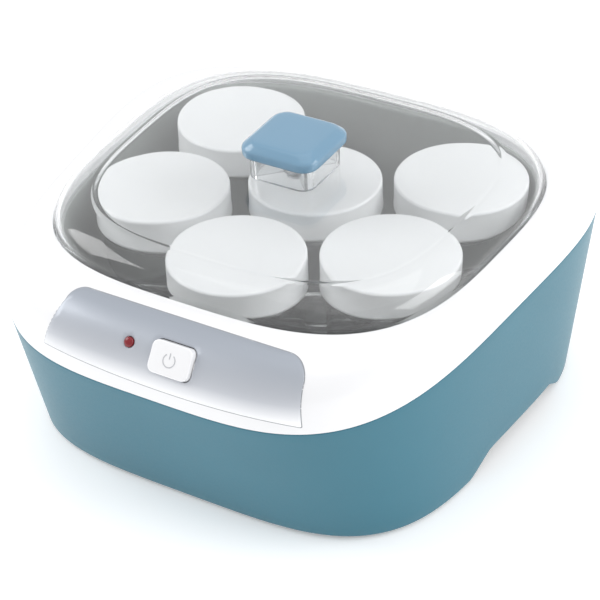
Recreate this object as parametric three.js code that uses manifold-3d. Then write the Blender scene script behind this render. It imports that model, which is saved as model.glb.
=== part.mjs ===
// Counter-top yogurt maker with six lidded jars, in millimetres.
// X runs to the right seen from the front, Y to the back and Z up.
// The origin is on the table, under the middle of the appliance.
import * as THREE from 'three';
import { mergeVertices } from 'three/addons/utils/BufferGeometryUtils.js';
import Module from 'manifold-3d';

const wasm = await Module();
wasm.setup();

// Softened-square outlines: half width a, half depth b, squareness n, centre y,
// and taper, the share by which the width grows for each millimetre towards the back.
const RIM = { a: 128, b: 125, n: 3.65, y: 0, taper: 0.0011 };
const SEAM = { a: 111, b: 104, n: 3.25, y: 12, taper: 0.0004 };
const BASE = { a: 120, b: 109, n: 3.95, y: 8.5, taper: 0.0006 };
const RING_STEPS = 40;

// Heights
const RIM_TOP = 111;
const PARTING_FRONT = 77.5;
const PARTING_RISE = 27;
const PARTING_EASE = 1.35;
const SKIRT_BOTTOM = 2;
const PLATE_BOTTOM = 11;
const PLATE_TOP = 13.5;
const TUB_FLOOR = 30;
const SEAT = 106.6;
const DOME_RISE = 12.8;
const DOME_INSET = 19.6;
const CROWN_RISE = 2;

// Walls and gaps
const GAP = 0.3;
const HOUSING_WALL = 2.6;
const RIM_WALL = 2.8;
const TUB_WALL = 1.8;
const LID_WALL = 2.4;

// Jars
const JAR_COLUMN = 64.5;
const JAR_PITCH = 75;
const SIDE_JARS_Y = -10.3;
const MIDDLE_JARS_Y = -44.5;
const JAR_RADIUS = 31.5;
const JAR_LID_RADIUS = 34;
const JAR_LID_TOP = 109;
const JAR_LID_SKIRT = 16;
const JAR_STEPS = 20;

// Control panel, in its own tilted frame on the front of the rim
const PANEL_TILT = THREE.MathUtils.degToRad(35);
const PANEL_RISE = 0.416;
const PANEL_X = 8;
const PANEL_WIDTH = 136;
const PANEL_FOOT = -14;
const PANEL_HEAD = 18.8;
const PANEL_LEFT_CORNER = 7;
const PANEL_RIGHT_CORNER = 12;
const BUTTON_WIDTH = 21.5;
const BUTTON_HEIGHT = 15.5;
const BUTTON_CORNER = 3.5;
const BUTTON_X = 11.6;
const BUTTON_UP = 0.3;
const BUTTON_TRAVEL = 2.5;
const LAMP_RADIUS = 2.5;
const LAMP_X = -12.4;
const LAMP_UP = 2.1;

const COLOURS = {
  blue: { color: 0x5f98ab, roughness: 0.45 },
  white: { color: 0xf1f1f2, roughness: 0.2 },
  silver: { color: 0xa9afba, roughness: 0.35, metalness: 0.5 },
  clear: { color: 0xe4ecec, roughness: 0.05, transparent: true, opacity: 0.35 },
  glass: { color: 0xdde4e2, roughness: 0.03, transparent: true, opacity: 0.35 },
  knob: { color: 0x86a9c4, roughness: 0.3 },
  grey: { color: 0x7c8080, roughness: 0.4 },
  dark: { color: 0x4b4d4e, roughness: 0.5, metalness: 0.3 },
  black: { color: 0x1d1d1f, roughness: 0.8 },
  steel: { color: 0xb9bcc0, roughness: 0.3, metalness: 1 },
  red: { color: 0xb01624, roughness: 0.25 },
  board: { color: 0x2c6a44, roughness: 0.6 },
  copper: { color: 0xb56b3c, roughness: 0.4, metalness: 0.8 },
};

const yogurtMaker = new THREE.Group();

// ---------------------------------------------------------------- helpers

function addPart(name, colour, geometry, parent = yogurtMaker) {
  const mesh = new THREE.Mesh(geometry, new THREE.MeshStandardMaterial(COLOURS[colour]));
  mesh.name = name;
  parent.add(mesh);
  return mesh;
}

function toSolid(geometry) {
  const bare = geometry.index ? geometry.toNonIndexed() : geometry.clone();
  for (const attribute of Object.keys(bare.attributes)) {
    if (attribute !== 'position') {
      bare.deleteAttribute(attribute);
    }
  }
  const merged = mergeVertices(bare, 1e-4);
  return new wasm.Manifold(new wasm.Mesh({
    numProp: 3,
    vertProperties: new Float32Array(merged.attributes.position.array),
    triVerts: new Uint32Array(merged.index.array),
  }));
}

function toGeometry(solid) {
  const mesh = solid.getMesh();
  const geometry = new THREE.BufferGeometry();
  geometry.setAttribute('position', new THREE.Float32BufferAttribute(mesh.vertProperties, 3));
  geometry.setIndex(new THREE.Uint32BufferAttribute(mesh.triVerts, 1));
  geometry.computeVertexNormals();
  return geometry;
}

// One body from a first geometry, others joined to it and others cut from it.
function build(first, { joins = [], cuts = [] } = {}) {
  let solid = toSolid(first);
  for (const join of joins) {
    solid = solid.add(toSolid(join));
  }
  for (const cut of cuts) {
    solid = solid.subtract(toSolid(cut));
  }
  return toGeometry(solid);
}

// Skin through rings of points that run anticlockwise seen from above.
// A closed skin joins its last ring to its first, an open one is capped at both ends.
function loft(rings, closed = false) {
  const count = rings[0].length;
  const vertices = rings.flat();
  const faces = [];
  const links = closed ? rings.length : rings.length - 1;
  for (let level = 0; level < links; level += 1) {
    const next = (level + 1) % rings.length;
    for (let step = 0; step < count; step += 1) {
      const a = level * count + step;
      const b = level * count + (step + 1) % count;
      const c = next * count + (step + 1) % count;
      const d = next * count + step;
      faces.push(a, b, c, a, c, d);
    }
  }
  if (!closed) {
    capRing(vertices, faces, 0, count, false);
    capRing(vertices, faces, (rings.length - 1) * count, count, true);
  }
  const geometry = new THREE.BufferGeometry().setFromPoints(vertices);
  geometry.setIndex(faces);
  geometry.computeVertexNormals();
  return geometry;
}

function capRing(vertices, faces, start, count, facesUp) {
  const centre = new THREE.Vector3();
  for (let step = 0; step < count; step += 1) {
    centre.addScaledVector(vertices[start + step], 1 / count);
  }
  const middle = vertices.push(centre) - 1;
  for (let step = 0; step < count; step += 1) {
    const here = start + step;
    const next = start + (step + 1) % count;
    faces.push(middle, facesUp ? here : next, facesUp ? next : here);
  }
}

// Point of a softened-square outline, moved in by inset.
function outlinePoint(outline, angle, inset = 0) {
  const power = 2 / outline.n;
  const c = Math.cos(angle);
  const s = Math.sin(angle);
  const y = (outline.b - inset) * Math.sign(s) * Math.abs(s) ** power;
  const x = (outline.a - inset) * Math.sign(c) * Math.abs(c) ** power;
  return new THREE.Vector2(x * (1 + outline.taper * y), y + outline.y);
}

function ring(pointAt, steps = RING_STEPS) {
  return Array.from({ length: steps }, (_, step) => pointAt(step * 2 * Math.PI / steps));
}

function flatRing(outline, inset, z) {
  return ring((angle) => {
    const point = outlinePoint(outline, angle, inset);
    return new THREE.Vector3(point.x, point.y, z);
  });
}

// Height of the line between housing and rim: low in front, easing out to the back.
function partingHeight(y) {
  const share = THREE.MathUtils.clamp((y + RIM.b) / (2 * RIM.b), 0, 1);
  return PARTING_FRONT + PARTING_RISE * (1 - (1 - share) ** PARTING_EASE);
}

function partingRing(inset, drop) {
  return ring((angle) => {
    const point = outlinePoint(RIM, angle, inset);
    return new THREE.Vector3(point.x, point.y, partingHeight(point.y) - drop);
  });
}

// Ring on the housing wall at height z.
function wallRing(z, inset) {
  return ring((angle) => {
    const low = outlinePoint(BASE, angle, inset);
    const high = outlinePoint(RIM, angle, inset);
    const share = z / partingHeight(high.y);
    return new THREE.Vector3(
      THREE.MathUtils.lerp(low.x, high.x, share),
      THREE.MathUtils.lerp(low.y, high.y, share),
      z,
    );
  });
}

// Ring on the rim's outside, depth millimetres below its surface.
// rise goes from 0 at the parting line to 1 where the surface reaches the lid seam.
function rimRing(rise, depth) {
  return ring((angle) => {
    const outer = outlinePoint(RIM, angle, depth);
    const inner = outlinePoint(SEAM, angle, -Math.max(depth, 0));
    const front = Math.max(0, -Math.sin(angle));
    const squareness = THREE.MathUtils.lerp(3.4, 2.5, front ** 4);
    const turn = rise * Math.PI / 2;
    const across = 1 - Math.cos(turn) ** (2 / squareness);
    const up = Math.sin(turn) ** (2 / squareness);
    const foot = partingHeight(outer.y);
    return new THREE.Vector3(
      THREE.MathUtils.lerp(outer.x, inner.x, across),
      THREE.MathUtils.lerp(outer.y, inner.y, across),
      THREE.MathUtils.lerp(foot, RIM_TOP - depth, up),
    );
  });
}

function cylinder(radius, height, steps = 16) {
  return new THREE.CylinderGeometry(radius, radius, height, steps).rotateX(Math.PI / 2);
}

function lathe(profile, steps = JAR_STEPS) {
  const points = profile.map(([r, z]) => new THREE.Vector2(r, z));
  return new THREE.LatheGeometry(points, steps).rotateX(Math.PI / 2);
}

function roundedSquare(width, height, corner) {
  const x = width / 2;
  const y = height / 2;
  const shape = new THREE.Shape();
  shape.moveTo(x, y - corner);
  shape.absarc(x - corner, y - corner, corner, 0, Math.PI / 2);
  shape.absarc(corner - x, y - corner, corner, Math.PI / 2, Math.PI);
  shape.absarc(corner - x, corner - y, corner, Math.PI, 1.5 * Math.PI);
  shape.absarc(x - corner, corner - y, corner, 1.5 * Math.PI, 2 * Math.PI);
  return shape;
}

function slab(shape, from, to, curveSegments = 5) {
  const geometry = new THREE.ExtrudeGeometry(shape, { depth: to - from, bevelEnabled: false, curveSegments });
  return geometry.translate(0, 0, from);
}

function box(size, centre) {
  return new THREE.BoxGeometry(...size).translate(...centre);
}

function tube(points, radius, steps, sides) {
  const section = new THREE.Shape().absarc(0, 0, radius, 0, 2 * Math.PI);
  const path = new THREE.CatmullRomCurve3(points.map((point) => new THREE.Vector3(...point)), false, 'centripetal');
  return new THREE.ExtrudeGeometry(section, { steps, curveSegments: sides / 2, extrudePath: path });
}

// ---------------------------------------------------------------- housing and base

const CORNER_STEPS = [5, 15, 25, 35];
const SCREW_INSET = 6.5;
const SCREW_RADIUS = 1.5;
const BOSS_RADIUS = 5.5;
const BOSS_TOP = 28;
const FOOT_INSET = 21;
const FOOT_RADIUS = 9;
const FOOT_BOSS_BOTTOM = 3.2;
const ARCH_HEIGHT = 10.4;
const GLAND_STEP = 9;
const GLAND_Z = 21;
const GLAND_BORE = 3.2;
const GLAND_RADIUS = 5.2;

const screwSpots = CORNER_STEPS.map((step) => wallRing(PLATE_TOP, SCREW_INSET)[step]);
const footSpots = CORNER_STEPS.map((step) => wallRing(0, FOOT_INSET)[step]);
const glandSpot = wallRing(GLAND_Z, 0)[GLAND_STEP];

// Low arch through both side skirts, with a ramp at either end.
function sideArch() {
  const shape = new THREE.Shape();
  shape.moveTo(-28, 0);
  shape.lineTo(-9, ARCH_HEIGHT);
  shape.lineTo(50, ARCH_HEIGHT);
  shape.lineTo(64, 0);
  const geometry = new THREE.ExtrudeGeometry(shape, { depth: 300, bevelEnabled: false });
  return geometry.translate(0, 0, -150).rotateX(Math.PI / 2).rotateZ(Math.PI / 2);
}

function rearArch() {
  const shape = new THREE.Shape();
  shape.moveTo(-66, 0);
  shape.lineTo(-54, ARCH_HEIGHT - 3);
  shape.lineTo(54, ARCH_HEIGHT - 3);
  shape.lineTo(66, 0);
  const geometry = new THREE.ExtrudeGeometry(shape, { depth: 60, bevelEnabled: false });
  return geometry.rotateX(Math.PI / 2).translate(0, 150, 0);
}

function addHousing() {
  const shell = loft([
    wallRing(SKIRT_BOTTOM, 1.3),
    wallRing(SKIRT_BOTTOM + 1.6, 0),
    partingRing(0, GAP / 2),
    partingRing(HOUSING_WALL, GAP / 2),
    wallRing(SKIRT_BOTTOM, HOUSING_WALL),
  ], true);
  const bossBottom = PLATE_TOP + GAP;
  const bossHeight = BOSS_TOP - bossBottom;
  const bosses = screwSpots.map((spot) => cylinder(BOSS_RADIUS, bossHeight, 12)
    .translate(spot.x, spot.y, bossBottom + bossHeight / 2));
  const holes = screwSpots.map((spot) => cylinder(SCREW_RADIUS + GAP, 22, 8).translate(spot.x, spot.y, bossBottom));
  const glandHole = new THREE.CylinderGeometry(GLAND_RADIUS + GAP, GLAND_RADIUS + GAP, 20, 20)
    .translate(glandSpot.x, glandSpot.y, GLAND_Z);
  addPart('base_housing', 'blue', build(shell, {
    joins: bosses,
    cuts: [sideArch(), rearArch(), glandHole, ...holes],
  }));
}

function addBasePlate() {
  const plate = loft([wallRing(PLATE_BOTTOM, HOUSING_WALL + 0.6), wallRing(PLATE_TOP, HOUSING_WALL + 0.6)]);
  const bossHeight = PLATE_BOTTOM + 1 - FOOT_BOSS_BOTTOM;
  const footBosses = footSpots.map((spot) => new THREE.CylinderGeometry(13, 10.5, bossHeight, 16)
    .rotateX(Math.PI / 2).translate(spot.x, spot.y, FOOT_BOSS_BOTTOM + bossHeight / 2));
  const spigotHoles = footSpots.map((spot) => cylinder(4.3, 12, 12).translate(spot.x, spot.y, 2.6));
  const screwHoles = screwSpots.map((spot) => cylinder(SCREW_RADIUS + 0.4, 10, 8).translate(spot.x, spot.y, PLATE_TOP));
  const vents = [-45, -27, -9, 9, 27, 45].map((x) => box([3.6, 44, 10], [x, -8, PLATE_TOP]));
  addPart('base_plate', 'black', build(plate, { joins: footBosses, cuts: [...spigotHoles, ...screwHoles, ...vents] }));

  footSpots.forEach((spot, index) => {
    const foot = lathe([
      [0, 0], [FOOT_RADIUS - 1, 0], [FOOT_RADIUS, 1], [FOOT_RADIUS, FOOT_BOSS_BOTTOM - GAP],
      [4, FOOT_BOSS_BOTTOM - GAP], [4, 8], [0, 8],
    ], 12);
    addPart(`rubber_foot_${index + 1}`, 'black', foot.translate(spot.x, spot.y, 0));
  });

  screwSpots.forEach((spot, index) => {
    const head = PLATE_BOTTOM - GAP;
    const screw = lathe([
      [0, head - 1.8], [2.2, head - 1.8], [3.2, head - 0.9], [3.2, head],
      [SCREW_RADIUS, head], [SCREW_RADIUS, 23], [0, 24],
    ], 8);
    addPart(`base_screw_${index + 1}`, 'steel', screw.translate(spot.x, spot.y, 0));
  });
}

function addCordInlet() {
  const wall = glandSpot.y;
  const profile = [
    [GLAND_BORE, -8], [GLAND_RADIUS, -8], [GLAND_RADIUS, 1.2], [7.6, 1.2], [7.6, 2.8], [6.6, 3.8],
    [GLAND_BORE, 3.8], [GLAND_BORE, -8],
  ];
  const gland = new THREE.LatheGeometry(profile.map(([r, y]) => new THREE.Vector2(r, y)), 20);
  addPart('cord_gland', 'black', gland.translate(glandSpot.x, wall, GLAND_Z));

  // The clamp bridge stands on the base plate behind the gland's inner end.
  const clampY = wall - 22;
  const clampFoot = PLATE_TOP + GAP;
  const bridge = box([20, 8, 11], [glandSpot.x, clampY, clampFoot + 5.5]);
  const throat = new THREE.CylinderGeometry(3.6, 3.6, 12, 12).translate(glandSpot.x, clampY, GLAND_Z);
  const mouth = box([7.2, 12, 12], [glandSpot.x, clampY, GLAND_Z + 6]);
  addPart('cord_clamp', 'black', build(bridge, { cuts: [throat, mouth] }));
}

// ---------------------------------------------------------------- rim, tub and heater

const LEDGE_TOP = SEAT - 1.9;
const LEDGE_INSET = 2.2;
const TUB_INSET = LEDGE_INSET + GAP;
const TUB_DRAFT = 2.7;
const ELEMENT_RADIUS = 3;
const ELEMENT_Z = TUB_FLOOR - TUB_WALL - ELEMENT_RADIUS - 0.6;

// Tilted frame whose origin lies on the rim's surface in the middle of the panel.
const panelFrame = new THREE.Group();
panelFrame.rotation.x = Math.PI / 2 - PANEL_TILT;
yogurtMaker.add(panelFrame);

panelFrame.position.copy(rimRing(PANEL_RISE, 0)[RING_STEPS * 3 / 4]);
panelFrame.updateMatrixWorld(true);

// Outline with a bowed foot, two rounded upper corners and a more slanted left side.
function panelShape(margin) {
  const left = PANEL_X - PANEL_WIDTH / 2 - margin;
  const right = PANEL_X + PANEL_WIDTH / 2 + margin;
  const head = PANEL_HEAD + margin;
  const foot = PANEL_FOOT - margin;
  const leftCorner = PANEL_LEFT_CORNER + margin;
  const rightCorner = PANEL_RIGHT_CORNER + margin;
  const leftLean = 7;
  const rightLean = 1.5;
  const sag = 2.4;
  const shape = new THREE.Shape();
  shape.moveTo(left, foot + sag);
  shape.quadraticCurveTo(PANEL_X, foot - 2 * sag, right, foot + sag);
  shape.lineTo(right - rightLean, head - rightCorner);
  shape.absarc(right - rightLean - rightCorner, head - rightCorner, rightCorner, 0, Math.PI / 2);
  shape.absarc(left + leftLean + leftCorner, head - leftCorner, leftCorner, Math.PI / 2, Math.PI);
  shape.closePath();
  return shape;
}

function inPanelFrame(geometry) {
  return geometry.applyMatrix4(panelFrame.matrixWorld);
}

// Band that follows the rim's outside, from one depth below its surface to another.
function rimBand(outside, inside) {
  const rises = [0, 0.08, 0.25, 0.45, 0.65, 0.85, 1];
  const out = rises.map((rise) => rimRing(rise, outside));
  const back = rises.map((rise) => rimRing(rise, inside)).reverse();
  return loft([...out, ...back], true);
}

function panelBody(margin, outside, inside) {
  const prism = inPanelFrame(slab(panelShape(margin), -24, 12, 6));
  return toGeometry(toSolid(rimBand(outside, inside)).intersect(toSolid(prism)));
}

function buttonPrism(margin, from, to) {
  const shape = roundedSquare(BUTTON_WIDTH + 2 * margin, BUTTON_HEIGHT + 2 * margin, BUTTON_CORNER + margin);
  return slab(shape, from, to, 3).translate(BUTTON_X, BUTTON_UP, 0);
}

function lampPrism(radius, from, to) {
  return cylinder(radius, to - from, 16).translate(LAMP_X, LAMP_UP, (from + to) / 2);
}

// Flat seats behind the rim's wall start at this depth for the button's collar and the lamp.
const SEAT_DEPTH = -5.8;

function addRim() {
  const outside = [0.08, 0.25, 0.45, 0.65, 0.85, 1].map((rise) => rimRing(rise, 0));
  const inside = [1, 0.8, 0.6, 0.4, 0.2].map((rise) => rimRing(rise, RIM_WALL));
  const shell = loft([
    partingRing(0, -GAP / 2),
    ...outside,
    flatRing(SEAM, 0.3, LEDGE_TOP),
    flatRing(SEAM, LEDGE_INSET, LEDGE_TOP),
    flatRing(SEAM, LEDGE_INSET, LEDGE_TOP - 2.2),
    flatRing(SEAM, -RIM_WALL, LEDGE_TOP - 2.2),
    ...inside,
    partingRing(7, -1),
    partingRing(7.2, 6),
    partingRing(5.4, 6),
    partingRing(3.2, -GAP / 2),
  ], true);
  addPart('top_rim', 'white', build(shell, {
    cuts: [
      panelBody(GAP, -6, 1.35),
      inPanelFrame(buttonPrism(0.4, -9, 9)),
      inPanelFrame(box([36, 21, 12], [BUTTON_X, BUTTON_UP, SEAT_DEPTH - 6])),
      inPanelFrame(lampPrism(LAMP_RADIUS + GAP, -9, 9)),
      inPanelFrame(box([16, 13, 10], [LAMP_X - 1.5, LAMP_UP, SEAT_DEPTH - 5])),
    ],
  }));
}

function addControls() {
  addPart('control_panel', 'silver', build(panelBody(0, -0.6, 0.9), {
    cuts: [inPanelFrame(buttonPrism(0.4, -9, 9)), inPanelFrame(lampPrism(LAMP_RADIUS + GAP, -9, 9))],
  }));

  // The button is a hollow cap with a wider collar that stops it behind the rim's wall.
  const collarTop = SEAT_DEPTH - GAP;
  const collar = buttonPrism(1.3, collarTop - 1.5, collarTop);
  addPart('power_button', 'white', build(buttonPrism(0, collarTop - 1.5, 3.2), { joins: [collar] }), panelFrame);

  const plungerTop = collarTop - 1.5 - GAP;
  const plunger = cylinder(3, 5, 12).translate(BUTTON_X, BUTTON_UP, plungerTop - 2.5);
  addPart('switch_plunger', 'black', plunger, panelFrame);

  // The switch has a blind bore for the plunger and stands on the rim's seat with two legs.
  const switchTop = plungerTop - 1 - BUTTON_TRAVEL;
  const body = box([31, 15, 15], [BUTTON_X, BUTTON_UP, switchTop - 7.5]);
  const legHeight = collarTop - switchTop + 1;
  const legs = [-14.4, 14.4].map((x) => box([2.2, 15, legHeight], [
    BUTTON_X + x, BUTTON_UP, collarTop - legHeight / 2,
  ]));
  const bore = cylinder(3.3, 20, 12).translate(BUTTON_X, BUTTON_UP, plungerTop - 5 - BUTTON_TRAVEL - 1 + 10);
  addPart('switch_body', 'black', build(body, { joins: legs, cuts: [bore] }), panelFrame);

  const lens = lathe([
    [0, SEAT_DEPTH - 1.6], [3.6, SEAT_DEPTH - 1.6], [3.6, SEAT_DEPTH - GAP], [LAMP_RADIUS, SEAT_DEPTH - GAP], [LAMP_RADIUS, 0.7],
    [1.6, 1.5], [0, 1.8],
  ], 16);
  addPart('lamp_lens', 'red', lens.translate(LAMP_X, LAMP_UP, 0), panelFrame);
  addPart('lamp_board', 'board', box([14, 11, 1.6], [LAMP_X - 1.5, LAMP_UP, SEAT_DEPTH - 2.8]), panelFrame);
}

function addTub() {
  addPart('well_tub', 'grey', loft([
    flatRing(SEAM, TUB_INSET + TUB_DRAFT + 3, TUB_FLOOR - TUB_WALL),
    flatRing(SEAM, TUB_INSET + TUB_DRAFT, TUB_FLOOR + 1.5),
    flatRing(SEAM, TUB_INSET, LEDGE_TOP + GAP),
    flatRing(SEAM, 0.7, LEDGE_TOP + GAP),
    flatRing(SEAM, 0.7, SEAT - GAP),
    flatRing(SEAM, TUB_INSET + TUB_WALL, SEAT - GAP),
    flatRing(SEAM, TUB_INSET + TUB_WALL + TUB_DRAFT, TUB_FLOOR + 3),
    flatRing(SEAM, TUB_INSET + TUB_WALL + TUB_DRAFT + 3, TUB_FLOOR),
  ]));
  addPart('heating_plate', 'dark', loft([
    flatRing(SEAM, 11.2, TUB_FLOOR + GAP),
    flatRing(SEAM, 10.8, TUB_FLOOR + 2),
  ]));
}

function addHeater() {
  const middle = SEAM.y;
  const ends = THREE.MathUtils.degToRad(12);
  const path = Array.from({ length: 13 }, (_, index) => {
    const angle = Math.PI / 2 + ends + index / 12 * 2 * (Math.PI - ends);
    return [62 * Math.cos(angle), middle + 58 * Math.sin(angle), ELEMENT_Z];
  });
  addPart('heating_element', 'steel', tube(path, ELEMENT_RADIUS, 28, 10));

  const trayFloor = ELEMENT_Z - ELEMENT_RADIUS - 2.6;
  const trayTop = TUB_FLOOR - TUB_WALL - GAP;
  const tray = loft([
    flatRing(SEAM, 37, trayFloor),
    flatRing(SEAM, 34, trayTop),
    flatRing(SEAM, 35.2, trayTop),
    flatRing(SEAM, 38.2, trayFloor + 1.2),
  ]);
  const wireNotch = box([32, 20, 20], [4, 82, trayTop]);
  addPart('reflector_tray', 'steel', build(tray, { cuts: [wireNotch] }));

  const strapFoot = trayFloor + 1.2 + GAP;
  const strap = box([64, 13, 1.2], [0, middle, strapFoot + 0.6]);
  const posts = [-31, 31].map((x) => box([1.2, 13, 5], [x, middle, strapFoot + 2.5]));
  addPart('sensor_bracket', 'steel', build(strap, { joins: posts }));

  const sensorFoot = strapFoot + 1.2 + GAP;
  addPart('thermostat', 'black', lathe([
    [0, sensorFoot], [8, sensorFoot], [8, sensorFoot + 3.4], [6.5, sensorFoot + 4.6], [0, sensorFoot + 4.6],
  ], 20).translate(-8, middle, 0));
  const fuse = new THREE.CylinderGeometry(2, 2, 11, 12).translate(12, middle, sensorFoot + 2);
  addPart('thermal_fuse', 'copper', fuse);
}

function addWiring() {
  const blockSpot = new THREE.Vector3(8, glandSpot.y - 22, PLATE_TOP + GAP);
  const block = box([30, 13, 9], [blockSpot.x, blockSpot.y, blockSpot.z + 4.5]);
  const wells = [-10, 0, 10].map((x) => cylinder(2, 6, 10).translate(blockSpot.x + x, blockSpot.y, blockSpot.z + 8));
  addPart('terminal_block', 'white', build(block, { cuts: wells }));

  const wire = 1.2;
  const highWires = [
    [[-11.4, 68.9, ELEMENT_Z], [-7, 70.5, ELEMENT_Z], [-4, 78, 22], [-2, 85, 18.3], [-2, 89.2, 18.3]],
    [[11.4, 68.9, ELEMENT_Z], [8.5, 71, ELEMENT_Z], [12, 79, 22], [17, 85, 18.3], [17, 89.2, 18.3]],
  ];
  highWires.forEach((points, index) => {
    addPart(`element_wire_${index + 1}`, 'black', tube(points, wire, 12, 6));
  });

  const low = PLATE_TOP + wire + 1.4;
  const blockFront = blockSpot.y - 6.5 - 0.6;
  [-1, 1].forEach((side, index) => {
    const end = new THREE.Vector3(BUTTON_X + side * 6, BUTTON_UP - 7.5 - 1.2, -20);
    panelFrame.localToWorld(end);
    addPart(`switch_wire_${index + 1}`, 'black', tube([
      [blockSpot.x + side * 4, blockFront, low],
      [blockSpot.x + side * 4, blockFront - 14, low],
      [end.x, 20, low],
      [end.x, -60, low],
      [end.x, -76, low],
      [end.x, -92, low + 10],
      [end.x, -99, 50],
      [end.x, end.y, end.z],
    ], wire, 22, 6));
  });
}

// ---------------------------------------------------------------- lid

const LID_FOOT_INSET = 0.8;
const PLATEAU_Z = RIM_TOP + DOME_RISE;
const CROWN_TOP = PLATEAU_Z + CROWN_RISE;
const CROWN_INSET = 84;
const STEM_SIDE = 36;
const STEM_HEIGHT = 11.9;
const KNOB_SIDE = 42;
const KNOB_HEIGHT = 8.2;
const KNOB_CHAMFER = 4;

// Lid ring on the dome: turn goes from 0 at the foot to 1 on the plateau's edge.
function domeRing(turn, depth) {
  const angle = turn * Math.PI / 2;
  const inset = LID_FOOT_INSET + (DOME_INSET - LID_FOOT_INSET) * (1 - Math.cos(angle));
  return flatRing(SEAM, inset + depth * Math.cos(angle), RIM_TOP + (DOME_RISE - depth) * Math.sin(angle));
}

function addLid() {
  const turns = [0.04, 0.3, 0.55, 0.8, 1];
  const shell = loft([
    flatRing(SEAM, CROWN_INSET, CROWN_TOP - LID_WALL),
    ...turns.map((turn) => domeRing(turn, LID_WALL)).reverse(),
    flatRing(SEAM, LID_FOOT_INSET + LID_WALL, SEAT),
    flatRing(SEAM, LID_FOOT_INSET, SEAT),
    ...turns.map((turn) => domeRing(turn, 0)),
    flatRing(SEAM, CROWN_INSET, CROWN_TOP),
  ]);
  const screwHole = cylinder(2.3, 20, 12).translate(0, SEAM.y, CROWN_TOP);
  addPart('lid_shell', 'clear', build(shell, { cuts: [screwHole] }));

  const stemFoot = CROWN_TOP + GAP;
  const stem = slab(roundedSquare(STEM_SIDE, STEM_SIDE, 7), stemFoot, stemFoot + STEM_HEIGHT).translate(0, SEAM.y, 0);
  const stemHole = cylinder(2.3, 2 * STEM_HEIGHT + 2, 12).translate(0, SEAM.y, stemFoot);
  addPart('knob_stem', 'clear', build(stem, { cuts: [stemHole] }));

  const capFoot = stemFoot + STEM_HEIGHT + GAP;
  const capRing = (side, z) => roundedSquare(side, side, side * 0.22).getPoints(4).slice(0, -1)
    .map((point) => new THREE.Vector3(point.x, point.y + SEAM.y, z));
  const cap = loft([
    capRing(KNOB_SIDE - 2, capFoot),
    capRing(KNOB_SIDE, capFoot + 1.2),
    capRing(KNOB_SIDE, capFoot + KNOB_HEIGHT - 4),
    capRing(KNOB_SIDE - 2 * KNOB_CHAMFER, capFoot + KNOB_HEIGHT - 0.5),
    capRing(KNOB_SIDE - 2 * KNOB_CHAMFER - 3, capFoot + KNOB_HEIGHT),
  ]);
  const capHole = cylinder(2.3, 2 * (KNOB_HEIGHT - 3), 12).translate(0, SEAM.y, capFoot);
  addPart('knob_cap', 'knob', build(cap, { cuts: [capHole] }));

  const headTop = CROWN_TOP - LID_WALL - GAP;
  addPart('knob_screw', 'steel', lathe([
    [0, headTop - 2.4], [2.6, headTop - 2.4], [4, headTop - 1.2], [4, headTop],
    [2, headTop], [2, capFoot + 4], [0, capFoot + 4.6],
  ], 12).translate(0, SEAM.y, 0));
}

// ---------------------------------------------------------------- jars

const JAR_FOOT = TUB_FLOOR + 2 + GAP;
const JAR_SPOTS = [
  [-JAR_COLUMN, SIDE_JARS_Y], [-JAR_COLUMN, SIDE_JARS_Y + JAR_PITCH],
  [0, MIDDLE_JARS_Y], [0, MIDDLE_JARS_Y + JAR_PITCH],
  [JAR_COLUMN, SIDE_JARS_Y], [JAR_COLUMN, SIDE_JARS_Y + JAR_PITCH],
];

function addJars() {
  const skirtFoot = JAR_LID_TOP - JAR_LID_SKIRT;
  const underside = JAR_LID_TOP - 2;
  const mouth = underside - GAP;
  const neck = JAR_RADIUS - 2;
  const glass = 2.9;
  JAR_SPOTS.forEach(([x, y], index) => {
    addPart(`jar_${index + 1}`, 'glass', lathe([
      [0, JAR_FOOT], [JAR_RADIUS - 3, JAR_FOOT], [JAR_RADIUS, JAR_FOOT + 3], [JAR_RADIUS, skirtFoot - 3],
      [neck, skirtFoot + 1], [neck, mouth], [neck - glass, mouth], [neck - glass, skirtFoot],
      [JAR_RADIUS - glass, skirtFoot - 4], [JAR_RADIUS - glass, JAR_FOOT + glass], [0, JAR_FOOT + glass],
    ]).translate(x, y, 0));
    addPart(`jar_lid_${index + 1}`, 'white', lathe([
      [0, underside], [JAR_LID_RADIUS - 2.1, underside], [JAR_LID_RADIUS - 2.1, skirtFoot],
      [JAR_LID_RADIUS, skirtFoot], [JAR_LID_RADIUS, JAR_LID_TOP - 1.4], [JAR_LID_RADIUS - 1.4, JAR_LID_TOP],
      [0, JAR_LID_TOP],
    ]).translate(x, y, 0));
  });
}

addHousing();
addBasePlate();
addCordInlet();
addRim();
addControls();
addTub();
addHeater();
addWiring();
addLid();
addJars();

export default yogurtMaker;
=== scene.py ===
"""Yogurt maker: looks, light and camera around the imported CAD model.

Metres, in the CAD's own frame: X to the right seen from the front, Y to the back, Z up.
Shape functions work in millimetres, like the CAD, and are scaled when a mesh is made.
"""

import math

import bmesh
import bpy
from mathutils import Matrix, Vector
from mathutils.bvhtree import BVHTree
from mathutils.geometry import delaunay_2d_cdt


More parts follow.
